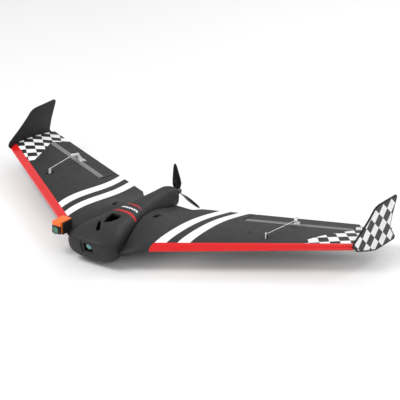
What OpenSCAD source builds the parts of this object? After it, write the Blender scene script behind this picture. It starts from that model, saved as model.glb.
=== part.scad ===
// Flying wing model aircraft: foam airframe, elevon linkages, pusher motor and cameras.
// Everything is drawn about the wing datum, where x = 0 is the plane of symmetry, y runs
// from the nose to the tail and z = 0 is the trailing edge, then moved to stand on its skids.

/* [Wing] */
// Distance between the outer faces of the winglets
wing_span = 900; // [880:5:920]
// Leading edge sweep, millimetres back for each millimetre out
le_slope = 0.736; // [0.70:0.01:0.76]
// Trailing edge sweep, millimetres back for each millimetre out
te_slope = 0.4415; // [0.42:0.005:0.46]
// Height of the upper surface above the chord line at the wing's inner end
root_up = 16.5; // [15:0.5:18]
// Depth of the lower surface below the chord line at the wing's inner end
root_down = 9; // [8.5:0.5:10]
// Height of the upper surface above the chord line at the tip
tip_up = 9.2; // [8.6:0.2:10]
// Depth of the lower surface below the chord line at the tip
tip_down = 4.5; // [4:0.5:6]

/* [Elevons] */
// Chord of each elevon, measured along y
elevon_chord = 49.5; // [46:0.5:52]
// Inner end of each elevon from the centreline
elevon_in = 184; // [180:1:190]
// Outer end of each elevon from the centreline
elevon_out = 400; // [380:1:405]
// Radius of the servo arm and of the control horn
link_radius = 15; // [13:0.5:16]

/* [Power] */
// Radius of the propeller
prop_radius = 62; // [55:1:62]
// Blade count of the propeller
blade_count = 3; // [2:1:3]
// Outer radius of the motor bell
bell_radius = 13; // [11:0.5:13]

/* [Battery] */
// Length of the battery
battery_length = 100; // [70:1:104]
// Width of the battery
battery_width = 34; // [28:1:36]
// Height of the battery
battery_height = 26; // [20:1:28]

/* [Hidden] */
$fn = 48;

// Where the wing datum sits over the point on the ground below the middle of the box
datum = [0, -141.034, 47];

// Wing panel
root_x = 108;
tip_x = wing_span / 2 - 3.5;
le_start = -112;
te_start = 173.4;
te_half = 0.8;
airfoil_steps = 16;
te_cusp = 0.3;
hump_power = 1.3;

// Centre section
body_flat_x = 50;
body_le = -62;
body_te = 191;
body_te_x = 64;
body_te_join_x = 78;
body_up = 28;
body_down = 24;

// Hinge line of the elevons
sweep = atan(te_slope);
hinge_z = 6.7;
hinge_gap = 0.6;
// Each end swings outwards as the elevon turns about its swept hinge, so the end gaps are wider
end_gap = 1.9;
elevon_bevel = 30;
link_x = 286;
horn_thick = 2;
servo_at = [280, 143.5, 6.5];
rod_radius = 0.75;

// Pod: rows of y, half width, top, bottom and lean, which sets the top of a row ahead of its foot
pod_rows = [
    [-90, 38, 9.5, -22, 0.35], [-89, 45, 13, -28, 0.35], [-86.5, 50.5, 15.5, -33, 0.33],
    [-81, 54.5, 18.5, -36, 0.29], [-73, 57, 22.5, -38, 0.22], [-62, 57, 27, -39, 0.13],
    [-48, 55, 31, -39.8, 0.04], [-20, 48, 34, -40.5, 0], [20, 39, 36, -40.5, 0],
    [60, 32, 37, -40.5, 0], [110, 26, 38, -40, 0], [140, 23, 38, -36, 0], [165, 21, 38, -27, 0],
    [190, 19.5, 37.5, -15, 0], [206, 18, 33, -8, 0]
];
bay_row = 4;
pod_steps = 40;
pod_power = 3;
foam_wall = 5;
groove = 3;

// Seam between the hatch and the tub: points of y and z
seam = [[-120, 10.5], [-80, 10.5], [-60, -10], [-40, -4], [20, 4], [60, 8], [130, 8],
        [165, 4], [220, 4]];
seam_gap = 0.3;

// Propeller shaft and motor
shaft_z = 15.5;
shaft_radius = 2.5;
firewall_y = 184;
firewall_thick = 3.5;
motor_base_y = firewall_y + firewall_thick;
bell_y = motor_base_y + 4;
bell_length = 19;
// Room round the bell in the tail of the tub, and the rear face of the hatch
tub_gap = 1.8;
hatch_rear = 188.5;
prop_spacer = 11.5;
prop_y = bell_y + bell_length + prop_spacer;
prop_hub_length = 9;
prop_hub_radius = 7;
blade_angle = 98;

// Spars
spar_at = [0, 100, 3.5];
spar_radius = 3;
spar_half = 250;
rear_spar_at = [0, 170, 0.5];
rear_spar_radius = 2;
rear_spar_half = 160;

// Skids
skid_x = 20;
skid_width = 6;
skid_front = -10;
skid_rear = 140;

// Forward camera
camera_pivot = [0, -71, 1.4];
camera_lean = 19.3;
camera_half = 10.5;
// Room in the hatch for the camera and its frame to turn about the pivot
camera_room = 18;
camera_room_half = 18;
recess = [30, 28];

// Action camera
action_at = [-89.5, -61, 12.2];
action_case = [21, 38, 26];
action_lens_z = -4.4;
action_ring = 8.4;
action_lens_seat = 7;

function mix(a, b, t) = a + (b - a) * t;
function ease(t) = t * t * (3 - 2 * t);
function thickness(s) = 10 * (0.2969 * sqrt(s) - 0.126 * s - 0.3516 * s * s
    + 0.2843 * pow(s, 3) - 0.1036 * pow(s, 4));

function hump(s) = pow(max(0, sin(180 * s)), hump_power);

// A wing section is [leading y, trailing y, leading z, trailing z, height, depth, shoulder], where
// the last is 0 for an airfoil and 1 for the even hump of the shoulders
function panel(x) = let(t = (x - root_x) / (tip_x - root_x))
    [le_start + le_slope * x, te_start + te_slope * x, mix(-2, 5, t), 0,
     mix(root_up, tip_up, t), mix(root_down, tip_down, t), 0];
function body_te_at(x) = x > body_te_join_x ? te_start + te_slope * x
    : x < body_te_x ? body_te
    : mix(body_te, te_start + te_slope * body_te_join_x, (x - body_te_x) / (body_te_join_x - body_te_x));
function centre(x) = let(u = max(0, (x - body_flat_x) / (root_x - body_flat_x)), e = ease(u),
    r = panel(root_x))
    [mix(body_le, r[0], pow(u, 2.2)), body_te_at(x), mix(-9, r[2], e), 0,
     mix(body_up, r[4], e), mix(body_down, r[5], e), 1 - e];
function section_point(q, s, side) = [mix(q[0], q[1], s),
    mix(q[2], q[3], s) + side * te_half * s
    + (side > 0 ? q[4] * mix(thickness(s) * (1 - te_cusp * s * s), hump(s),
        q[6]) : -q[5] * thickness(s))];
function chord_at(i) = (1 - cos(180 * i / airfoil_steps)) / 2;
// Ring of a section at span x, from the upper trailing edge round the leading edge
function section_ring(x, q) = concat(
    [for (i = [airfoil_steps:-1:1]) let(p = section_point(q, chord_at(i), 1)) [x, p[0], p[1]]],
    [for (i = [0:airfoil_steps]) let(p = section_point(q, chord_at(i), -1)) [x, p[0], p[1]]]);
function hinge_y(x) = te_start + te_slope * x - elevon_chord;

// Twice the area of a ring as a vector along its normal
function ring_area(ring, i = 0) = i >= len(ring) ? [0, 0, 0]
    : cross(ring[i], ring[(i + 1) % len(ring)]) + ring_area(ring, i + 1);

// Skin through rings that have the same number of points, whichever way they run
module loft(stations) {
    along = stations[len(stations) - 1][0] - stations[0][0];
    rings = ring_area(stations[0]) * along < 0 ? stations
        : [for (k = [len(stations) - 1:-1:0]) stations[k]];
    n = len(rings[0]);
    last = len(rings) - 1;
    sides = [for (k = [0:last - 1]) for (i = [0:n - 1]) let(j = (i + 1) % n)
        each [[k * n + i, k * n + j, (k + 1) * n + i], [k * n + j, (k + 1) * n + j, (k + 1) * n + i]]];
    ends = [[for (i = [n - 1:-1:0]) i], [for (i = [0:n - 1]) last * n + i]];
    polyhedron([for (ring = rings) each ring], concat(sides, ends), convexity = 6);
}

module left_and_right() {
    children();
    mirror([1, 0, 0]) children();
}
module on_datum() {
    translate(datum) children();
}

// Prism across the whole model from an outline in y and z
module across(points, half = 200) {
    rotate([90, 0, 90]) translate([0, 0, -half]) linear_extrude(2 * half) polygon(points);
}
module above_seam(lift = 0) {
    across(concat([for (p = seam) [p[0], p[1] + lift]], [[220, 80], [-120, 80]]), 80);
}

// Pod grown by an amount on every side
module pod(grow = 0, first = 0, tail = 0) {
    rows = [for (i = [first:len(pod_rows) - 1]) pod_rows[i]];
    loft([for (i = [0:len(rows) - 1])
        let(r = rows[i], mid = (r[2] + r[3]) / 2, h = (r[2] - r[3]) / 2 + grow, w = r[1] + grow,
            y = r[0] + (i == len(rows) - 1 ? tail : 0))
        [for (k = [0:pod_steps - 1])
            let(a = 360 * k / pod_steps, c = cos(a), s = sin(a), v = h * sign(s) * pow(abs(s),
                2 / pod_power))
            [w * sign(c) * pow(abs(c), 2 / pod_power), y - r[4] * v, mid + v]]]);
}
module centre_section() {
    span = [0, 30, 50, 58, 66, 74, 78, 86, 94, 101, 108];
    xs = concat([for (i = [len(span) - 1:-1:1]) -span[i]], span);
    loft([for (x = xs) section_ring(x, centre(abs(x)))]);
}

// Tube along x
module tube_x(at, radius, half) {
    translate([-half, at[1], at[2]]) rotate([0, 90, 0]) cylinder(r = radius, h = 2 * half);
}
// Cylinder along y from one y to another
module rod_y(x, y0, y1, z, radius) {
    translate([x, y0, z]) rotate([-90, 0, 0]) cylinder(r = radius, h = y1 - y0);
}
// Straight wire between two points
module wire(a, b, radius) {
    v = b - a;
    translate(a) rotate([0, acos(v[2] / norm(v)), atan2(v[1], v[0])])
        cylinder(r = radius, h = norm(v), $fn = 24);
}

// Thin film on a wing section, between two depths along the chord's square root
function skin_point(q, u, d) = let(e = 0.01, a = section_point(q, (u - e) * (u - e), u - e < 0 ? -1 : 1),
        b = section_point(q, (u + e) * (u + e), u + e < 0 ? -1 : 1), t = (b - a) / norm(b - a),
        p = section_point(q, u * u, u < 0 ? -1 : 1))
    [p[0] - t[1] * d, p[1] + t[0] * d];
module film(x0, x1, low0, high0, low1, high1, steps) {
    loft([for (end = [[x0, low0, high0], [x1, low1, high1]]) let(q = panel(end[0])) concat(
        [for (i = [0:steps]) let(p = skin_point(q, mix(end[2], end[1], i / steps),
            film_outer)) [end[0], p[0], p[1]]],
        [for (i = [steps:-1:0]) let(p = skin_point(q, mix(end[2], end[1], i / steps),
            film_inner)) [end[0], p[0], p[1]]])]);
}
film_inner = 0.3;
film_outer = 0.65;

// Airframe foam, left side; the right side is its mirror image
module wing_panel() {
    loft([for (x = [root_x, (root_x + tip_x) / 2, tip_x]) section_ring(x, panel(x))]);
}
module elevon_plan(x0, x1, ahead) {
    translate([0, 0, -40]) linear_extrude(80)
        polygon([[x0, hinge_y(x0) - ahead], [x1, hinge_y(x1) - ahead], [x1, 500], [x0, 500]]);
}
module at_hinge() {
    translate([link_x, hinge_y(link_x), hinge_z]) rotate([0, 0, sweep]) children();
}
module at_servo() {
    translate(servo_at) rotate([0, 0, sweep]) children();
}
// Cylinder along the local x axis
module pin_x(x0, x1, radius, y = 0, z = 0) {
    translate([x0, y, z]) rotate([0, 90, 0]) cylinder(r = radius, h = x1 - x0);
}
module box(x, y, z) {
    translate([x[0], y[0], z[0]]) cube([x[1] - x[0], y[1] - y[0], z[1] - z[0]]);
}

slot_x = [-2.6, 4];
slot_reach = 9;
servo_x = [-26, -3];
servo_y = [-6, 17];
ear_x = [-9.5, -7];
ear_reach = 4.5;
pin_y = [255, 318];
pin_radius = 1.5;
pin_length = 14;

module wing() {
    difference() {
        wing_panel();
        elevon_plan(elevon_in - end_gap, elevon_out + end_gap, hinge_gap);
        tube_x(spar_at, spar_radius + 0.05, spar_half + 1);
        tube_x(rear_spar_at, rear_spar_radius + 0.05, rear_spar_half + 1);
        at_servo() {
            box([servo_x[0] - 0.3, servo_x[1] + 0.5], [servo_y[0] - 0.3, servo_y[1] + 0.3], [-40, 6.3]);
            box([ear_x[0] - 0.2, ear_x[1] + 0.2], [servo_y[0] - ear_reach - 0.3,
                servo_y[1] + ear_reach + 0.3], [-40, 6.3]);
            box(slot_x, [-slot_reach, slot_reach], [-5, 30]);
        }
        for (y = pin_y) pin_x(tip_x - pin_length, tip_x + 1, pin_radius, y, winglet_pin_z(y));
        // Channel for the servo lead, open below
        box([root_x - 1, 262], [128, 132], [-40, lead_top]);
    }
}
lead_top = 0.5;
function winglet_pin_z(y) = let(q = panel(tip_x)) mix(q[2], q[3], (y - q[0]) / (q[1] - q[0])) + 1.5;

module wing_left() color("dimgray") on_datum() wing();
module wing_right() color("dimgray") on_datum() mirror([1, 0, 0]) wing();

horn_y = [3, 18.5];
plate_y = [7, 18.5];
horn_base = 1.4;
horn_slope = 2;
horn_holes = [10, 15.5];
horn_screw_radius = 1;
horn_foot = -2.2;
plate_foot = -9.8;
plate_thick = 1.4;

// Holes and plates of the control horn, on the slope of the elevon's upper surface
module on_elevon() {
    at_hinge() rotate([-horn_slope, 0, 0]) children();
}
module elevon() {
    difference() {
        intersection() {
            wing_panel();
            elevon_plan(elevon_in, elevon_out, 20);
            at_hinge() across([[0, 0], [0, 30], [90, 30], [90, -40], [40 * tan(elevon_bevel), -40]], 300);
        }
        on_elevon() {
            box([-6.2, 6.2], [horn_y[0] - 0.2, horn_y[1] + 0.2], [horn_foot, 20]);
            box([-6.2, 6.2], [plate_y[0] - 0.2, plate_y[1] + 0.2], [-30, plate_foot + plate_thick]);
            for (y = horn_holes) for (x = [-4, 4]) translate([x, y,
                -20]) cylinder(r = horn_screw_radius + 0.1, h = 40);
        }
    }
}
module elevon_left() color("dimgray") on_datum() elevon();
module elevon_right() color("dimgray") on_datum() mirror([1, 0, 0]) elevon();

winglet_outline = [[209, 12], [213.5, 21], [252, 43.5], [276, 60], [288, 70], [297, 74], [308, 75.8],
    [375, 75.8], [378.5, 70], [363, 34], [356, 9], [378.5, -20], [375, -25.3], [300, -25.4], [260, -14],
    [227, -3]];
winglet_round = 2;
module winglet() {
    difference() {
        translate([tip_x, 0, 0]) rotate([90, 0, 90]) linear_extrude(wing_span / 2 - tip_x)
            offset(winglet_round, $fn = 24) offset(-winglet_round) polygon(winglet_outline);
        for (y = pin_y) pin_x(tip_x - 1, tip_x + 2, pin_radius, y, winglet_pin_z(y));
    }
}
module winglet_left() color([0.1, 0.1, 0.1]) on_datum() winglet();
module winglet_right() color([0.1, 0.1, 0.1]) on_datum() mirror([1, 0, 0]) winglet();
module winglet_pins() color("black") on_datum() left_and_right()
    for (y = pin_y) pin_x(tip_x - pin_length, tip_x + 2, pin_radius - 0.05, y, winglet_pin_z(y));

tape_half = 7.6;
function root_of(x, y) = let(q = panel(x)) sqrt((y - q[0]) / (q[1] - q[0]));
module hinge_film(x0, x1, from, to) {
    film(x0, x1, root_of(x0, hinge_y(x0) + from), root_of(x0, hinge_y(x0) + to),
        root_of(x1, hinge_y(x1) + from), root_of(x1, hinge_y(x1) + to), 4);
}
module hinge_tape_front() color([0.6, 0.6, 0.6, 0.5]) on_datum() left_and_right()
    hinge_film(elevon_in + 5, elevon_out - 6, -tape_half, -hinge_gap);
module hinge_tape() difference() {
    hinge_film(elevon_in + 5, elevon_out - 6, 0.1, tape_half);
    on_elevon() box([-7, 7], [horn_y[0] - 0.5, 30], [-10, 20]);
}
module hinge_tape_left() color([0.6, 0.6, 0.6, 0.5]) on_datum() hinge_tape();
module hinge_tape_right() color([0.6, 0.6, 0.6, 0.5]) on_datum() mirror([1, 0, 0]) hinge_tape();

edge_tape_in = 111;
edge_tape_above = 18;
edge_tape_below = 13;
module edge_tape() {
    film(edge_tape_in, tip_x, -root_of(edge_tape_in, panel(edge_tape_in)[0] + edge_tape_below),
        root_of(edge_tape_in, panel(edge_tape_in)[0] + edge_tape_above),
        -root_of(tip_x, panel(tip_x)[0] + edge_tape_below), root_of(tip_x,
            panel(tip_x)[0] + edge_tape_above), 30);
}
module edge_tape_left() color("red") on_datum() edge_tape();
module edge_tape_right() color("red") on_datum() mirror([1, 0, 0]) edge_tape();

module main_spar() color([0.15, 0.15, 0.15]) on_datum() difference() {
    tube_x(spar_at, spar_radius, spar_half);
    tube_x(spar_at, spar_radius - 1, spar_half + 1);
}
module rear_spar() color([0.15, 0.15, 0.15]) on_datum() tube_x(rear_spar_at, rear_spar_radius,
    rear_spar_half);

// Tub, nose and shoulders
magnet_at = [30, -88, 10.5];
magnet_radius = 3;
magnet_height = 2;
vent_floor = 17;
module side_vent() {
    translate([0, 0, vent_floor]) linear_extrude(30) polygon([[47, 70], [56, 67], [61, 91], [53, 93]]);
}
module at_camera() {
    translate(camera_pivot) rotate([camera_lean, 0, 0]) children();
}
module recess_block(grow, y0, y1) {
    box([-recess[0] / 2 + grow, recess[0] / 2 - grow], [y0, y1], [-recess[1] / 2 + grow,
        recess[1] / 2 - grow]);
}
action_room = 2.2;
module action_bay() {
    translate(action_at) box([-action_case[0] / 2 - 12, action_case[0] / 2 + action_room],
        [-action_case[1] / 2 - 5, action_case[1] / 2 + action_room],
            [-action_case[2] / 2 - action_room, 60]);
}
foot_half = 12;
foot_low = -5;
bay_rear = 178;
shelf_y = [108, 155];
// Hollow of the pod, with a shelf left standing under the speed controller
module equipment_bay() {
    difference() {
        intersection() {
            pod(-foam_wall, bay_row);
            box([-80, 80], [-100, bay_rear], [-80, 80]);
        }
        box([-14, 14], shelf_y, [-80, esc_z[0]]);
    }
}
module centre_body() color("dimgray") on_datum() difference() {
    union() {
        centre_section();
        pod();
    }
    intersection() {
        pod(groove, 0, 20);
        above_seam();
        box([-80, 80], [-200, hatch_rear + seam_gap], [-80, 80]);
    }
    equipment_bay();
    at_camera() recess_block(0, -50, 4);
    left_and_right() side_vent();
    left_and_right() translate(magnet_at - [0, 0, magnet_height]) cylinder(r = magnet_radius, h = 10);
    tube_x(spar_at, spar_radius + 0.05, 150);
    tube_x(rear_spar_at, rear_spar_radius + 0.05, 150);
    rod_y(0, firewall_y, 230, shaft_z, bell_radius + tub_gap);
    box([-foot_half, foot_half], [firewall_y, firewall_y + firewall_thick], [foot_low, 30]);
    box([-8, 8], [170, firewall_y + 0.01], [-8, 30]);
    left_and_right() box([15, 150], [128, 132], [lead_top - 3, lead_top]);
    action_bay();
}

top_vent = [[-2, -36], [-9, -12], [-13, 11], [12.5, 10], [14, -8], [9, -24]];
front_vent = [[-16, -31], [-7, -35], [9, -61], [8, -67], [0, -63], [-12, -39]];
module hatch() color("dimgray") on_datum() difference() {
    intersection() {
        pod();
        above_seam(seam_gap);
    }
    pod(-foam_wall, bay_row, 8);
    tube_x(camera_pivot, camera_room, camera_room_half);
    box([-80, 80], [hatch_rear, 230], [-80, 80]);
    translate([0, 0, 10]) linear_extrude(60) polygon(top_vent);
    translate([0, 0, 10]) linear_extrude(60) polygon(front_vent);
    left_and_right() translate(magnet_at + [0, 0, -1]) cylinder(r = magnet_radius,
        h = magnet_height + 1 + seam_gap);
}
module hatch_magnets() color("silver") on_datum() left_and_right()
    translate(magnet_at + [0, 0, seam_gap]) cylinder(r = magnet_radius - 0.05, h = magnet_height);
module body_magnets() color("silver") on_datum() left_and_right()
    translate(magnet_at - [0, 0, magnet_height]) cylinder(r = magnet_radius - 0.05, h = magnet_height);

module skid_rails() color([0.2, 0.2, 0.2]) on_datum() difference() {
    left_and_right() rotate([90, 0, 90]) translate([0, 0,
        skid_x - skid_width / 2]) linear_extrude(skid_width)
        polygon([[skid_front, -43], [skid_front + 8, -datum[2]], [skid_rear - 4, -datum[2]],
            [skid_rear, -30], [skid_front, -30]]);
    pod();
}

// Motor and propeller
module motor_mount() color([0.12, 0.12, 0.12]) on_datum() difference() {
    union() {
        rod_y(0, firewall_y, motor_base_y, shaft_z, 13.9);
        box([-foot_half, foot_half], [firewall_y, motor_base_y], [foot_low, 8]);
    }
    rod_y(0, firewall_y - 1, motor_base_y + 1, shaft_z, 4);
    for (a = [45:90:315]) rod_y(8 * cos(a), firewall_y - 1, motor_base_y + 1, shaft_z + 8 * sin(a), 1.55);
    box([-7, 7], [firewall_y - 1, motor_base_y + 1], [-1.5, 2.5]);
}
module motor_mount_screws() color("silver") on_datum() for (a = [45:90:315]) {
    rod_y(8 * cos(a), firewall_y, motor_base_y + 2, shaft_z + 8 * sin(a), 1.5);
    difference() {
        rod_y(8 * cos(a), firewall_y - 2, firewall_y, shaft_z + 8 * sin(a), 2.75);
        rod_y(8 * cos(a), firewall_y - 3, firewall_y - 1, shaft_z + 8 * sin(a), 1.2);
    }
}
stator_teeth = 12;
shaft_core = 1.5;
module motor_stator() color("peru") on_datum() difference() {
    union() {
        rod_y(0, motor_base_y, motor_base_y + 3, shaft_z, 11);
        rod_y(0, motor_base_y + 3, bell_y + 14.5, shaft_z, 4);
        rod_y(0, bell_y + 2, bell_y + 13, shaft_z, 5.5);
        for (k = [0:stator_teeth - 1]) translate([0, bell_y + 2, shaft_z]) rotate([0,
            360 / stator_teeth * k, 0]) {
            translate([-1.2, 0, 4.5]) cube([2.4, 11, 5]);
            translate([-2.2, 1, 9]) cube([4.4, 9, 1.2]);
        }
    }
    rod_y(0, motor_base_y - 1, bell_y + 20, shaft_z, shaft_core + 0.05);
    for (a = [45:90:315]) rod_y(8 * cos(a), motor_base_y - 1, motor_base_y + 2.1, shaft_z + 8 * sin(a),
        1.55);
}
module motor_bell() color([0.12, 0.12, 0.12]) on_datum() difference() {
    rod_y(0, bell_y, bell_y + bell_length, shaft_z, bell_radius);
    rod_y(0, bell_y - 1, bell_y + bell_length - 2.5, shaft_z, bell_radius - 1.6);
    rod_y(0, bell_y, bell_y + bell_length + 1, shaft_z, shaft_core);
    for (a = [0:60:300]) rod_y(8 * cos(a), bell_y, bell_y + bell_length + 1, shaft_z + 8 * sin(a), 2.4);
}
shaft_top = prop_y + prop_hub_length + 8;
module motor_shaft() color("silver") on_datum() {
    rod_y(0, motor_base_y + 0.5, bell_y + bell_length, shaft_z, shaft_core);
    rod_y(0, bell_y + bell_length, prop_y, shaft_z, 5);
    rod_y(0, prop_y, shaft_top, shaft_z, shaft_radius);
}
// Rows of radius and chord
blade_rows = [[5, 11], [10, 16], [17, 19.5], [26, 18], [36, 15], [46, 12], [55, 8.8], [60, 5.6], [62,
    2.5]];
blade_pitch = 100;
blade_points = 12;
// Ring of a blade at a fraction of its length: a lens shape turned to the pitch
module blade() {
    loft([for (r = blade_rows) let(radius = r[0] * prop_radius / 62, turn = min(48,
        atan(blade_pitch / (2 * PI * radius))))
        [for (k = [0:blade_points - 1]) let(a = -360 * k / blade_points, c = r[1] / 2 * cos(a),
                t = r[1] * 0.055 * sin(a) * (1 + 0.5 * cos(a)) + 0.3 * sin(a))
            [radius, c * sin(turn) + t * cos(turn), -c * cos(turn) + t * sin(turn)]]]);
}
module propeller() color([0.08, 0.08, 0.08]) on_datum() difference() {
    translate([0, prop_y + prop_hub_length / 2, shaft_z]) {
        for (k = [0:blade_count - 1]) rotate([0, -blade_angle - 360 / blade_count * k, 0]) blade();
        rotate([90, 0, 0]) cylinder(r = prop_hub_radius, h = prop_hub_length, center = true);
    }
    rod_y(0, prop_y - 1, shaft_top, shaft_z, shaft_radius + 0.05);
}
module propeller_nut() color("silver") on_datum() difference() {
    union() {
        translate([0, prop_y + prop_hub_length, shaft_z]) rotate([-90, 0, 0]) cylinder(r = 4.6, h = 4,
            $fn = 6);
        rod_y(0, prop_y + prop_hub_length, prop_y + prop_hub_length + 5.2, shaft_z, 3.9);
    }
    rod_y(0, prop_y, shaft_top + 1, shaft_z, shaft_radius + 0.05);
}

// Power and radio gear, front to back
battery_rear = 44;
battery_floor = -32;
esc_y = [112, 150];
esc_z = [-24, -16];
module battery() color([0.15, 0.2, 0.45]) on_datum() {
    box([-battery_width / 2, battery_width / 2], [battery_rear - battery_length, battery_rear],
        [battery_floor, battery_floor + battery_height]);
    box([4, 12], [battery_rear, battery_rear + 4], [-27, -12]);
}
strap_y = [-16, 4];
module battery_strap() color("red") on_datum() difference() {
    box([-battery_width / 2 - 1.4, battery_width / 2 + 1.4], strap_y, [battery_floor,
        battery_floor + battery_height + 1.4]);
    box([-battery_width / 2 - 0.2, battery_width / 2 + 0.2], [strap_y[0] - 1, strap_y[1] + 1],
        [battery_floor - 1, battery_floor + battery_height + 0.2]);
}
module speed_controller() color([0.1, 0.1, 0.1]) on_datum() {
    box([-11, 11], esc_y, esc_z);
    for (k = [0:6]) box([-10, 10], [esc_y[0] + 5 + 4 * k, esc_y[0] + 6.5 + 4 * k], [esc_z[1],
        esc_z[1] + 2]);
}
lead_radius = 1;
module motor_leads() color([0.1, 0.1, 0.1]) on_datum() for (x = [-4.5, 0, 4.5]) {
    wire([x, esc_y[1] + 0.8, -20], [x, 174, -5], lead_radius);
    wire([x, 173.4, -5.3], [x, 181.4, 0.7], lead_radius);
    rod_y(x, 180.8, motor_base_y - 0.1, 0.4, lead_radius);
}
module flight_controller() color("darkgreen") on_datum() {
    box([-16, 16], [50, 82], [-28, -26.4]);
    box([-7, 7], [58, 72], [-26.4, -24]);
    for (x = [-13, 13]) for (y = [53, 79]) translate([x, y, -32.8]) cylinder(r = 2, h = 15.8);
}
module video_transmitter() color([0.3, 0.3, 0.32]) on_datum() {
    box([-16, 16], [50, 82], [-17, -15.4]);
    box([-13, 13], [57, 75], [-15.4, -11]);
}
module receiver() color([0.1, 0.1, 0.12]) on_datum() {
    box([-9, 9], [86, 108], [-34, -24]);
}

// Linkage of one elevon
module servo() {
    at_servo() difference() {
        union() {
            box(servo_x, servo_y, [-6, 6]);
            box(ear_x, [servo_y[0] - ear_reach, servo_y[1] + ear_reach], [-6, 6]);
            pin_x(servo_x[1] - 1, -0.6, 2.4);
        }
        pin_x(-2.6, 0, 1);
        for (y = [servo_y[0] - 2.3, servo_y[1] + 2.3]) pin_x(ear_x[0] - 1, ear_x[1] + 1, 1, y);
    }
}
module servo_left() color([0.1, 0.1, 0.1]) on_datum() servo();
module servo_right() color([0.1, 0.1, 0.1]) on_datum() mirror([1, 0, 0]) servo();
arm_tip = 2.4;
module servo_arm() {
    at_servo() difference() {
        union() {
            pin_x(-2.2, 1, 3.5);
            pin_x(-1, 1, arm_tip, 0, link_radius);
            translate([-1, 0, 0]) rotate([90, 0, 90]) linear_extrude(2)
                polygon([[-3.2, 0], [3.2, 0], [2.2, link_radius], [-2.2, link_radius]]);
        }
        pin_x(-3, -0.4, 2.45);
        pin_x(-3, 2, 0.95);
        pin_x(-2, 2, rod_radius + 0.05, 0, link_radius);
        for (z = [6.5, 9.2, 11.9]) pin_x(-2, 2, 0.6, 0, z);
    }
}
module servo_arm_left() color("white") on_datum() servo_arm();
module servo_arm_right() color("white") on_datum() mirror([1, 0, 0]) servo_arm();
module servo_screw() {
    at_servo() {
        pin_x(-2, 1, 0.9);
        pin_x(1, 2.2, 2);
    }
}
module servo_screw_left() color("silver") on_datum() servo_screw();
module servo_screw_right() color("silver") on_datum() mirror([1, 0, 0]) servo_screw();

rod_side = 2.8;
clevis_back = 14;
rod_start = servo_at + [rod_side * cos(sweep), rod_side * sin(sweep), link_radius];
rod_end = [link_x + clevis_back * sin(sweep), hinge_y(link_x) - clevis_back * cos(sweep),
    hinge_z + link_radius];
module pushrod() {
    at_servo() pin_x(-2, rod_side + rod_radius, rod_radius, 0, link_radius);
    wire(rod_start, rod_end, rod_radius);
}
module pushrod_left() color("silver") on_datum() pushrod();
module pushrod_right() color("silver") on_datum() mirror([1, 0, 0]) pushrod();
prong = [1.6, 2.9];
module clevis() {
    difference() {
        at_hinge() {
            for (side = [-1, 1]) box(side > 0 ? prong : [-prong[1], -prong[0]], [-9.5, 2.2],
                [link_radius - 2.2, link_radius + 2.2]);
            box([-prong[1], prong[1]], [-clevis_back - 2, -8], [link_radius - 2.2, link_radius + 2.2]);
            pin_x(-prong[1], prong[1], rod_radius, 0, link_radius);
        }
        wire(rod_start, rod_end + (rod_end - rod_start) * 0.01, rod_radius + 0.05);
    }
}
module clevis_left() color("white") on_datum() clevis();
module clevis_right() color("white") on_datum() mirror([1, 0, 0]) clevis();

module control_horn() {
    difference() {
        union() {
            on_elevon() box([-6, 6], horn_y, [horn_foot, horn_foot + horn_base]);
            at_hinge() translate([-horn_thick / 2, 0, 0]) rotate([90, 0, 90]) linear_extrude(horn_thick)
                polygon([[-2.4, link_radius], [3.5, horn_foot - 0.3], [17, horn_foot - 1.5], [2.4,
                    link_radius + 0.5]]);
            at_hinge() pin_x(-horn_thick / 2, horn_thick / 2, 2.6, 0, link_radius);
        }
        at_hinge() pin_x(-3, 3, rod_radius + 0.45, 0, link_radius);
        on_elevon() for (y = horn_holes) for (x = [-4, 4]) translate([x, y,
            -10]) cylinder(r = horn_screw_radius + 0.1, h = 14);
        on_elevon() box([-7, 7], [0, 22], [-20, horn_foot]);
    }
}
module control_horn_left() color("white") on_datum() control_horn();
module control_horn_right() color("white") on_datum() mirror([1, 0, 0]) control_horn();
module horn_plate() {
    on_elevon() difference() {
        box([-6, 6], plate_y, [plate_foot, plate_foot + plate_thick]);
        for (y = horn_holes) for (x = [-4, 4]) translate([x, y,
            -20]) cylinder(r = horn_screw_radius + 0.1, h = 40);
    }
}
module horn_plate_left() color("white") on_datum() horn_plate();
module horn_plate_right() color("white") on_datum() mirror([1, 0, 0]) horn_plate();
module horn_screws() {
    on_elevon() for (y = horn_holes) for (x = [-4, 4]) {
        translate([x, y, plate_foot]) cylinder(r = horn_screw_radius,
            h = horn_foot + horn_base - plate_foot);
        translate([x, y, horn_foot + horn_base]) cylinder(r = 1.8, h = 1);
    }
}
module horn_screws_left() color("silver") on_datum() horn_screws();
module horn_screws_right() color("silver") on_datum() mirror([1, 0, 0]) horn_screws();

module servo_leads() color([0.2, 0.1, 0.05]) on_datum() left_and_right()
    pin_x(24, 250, 0.9, 130, lead_top - 1.2);

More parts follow.
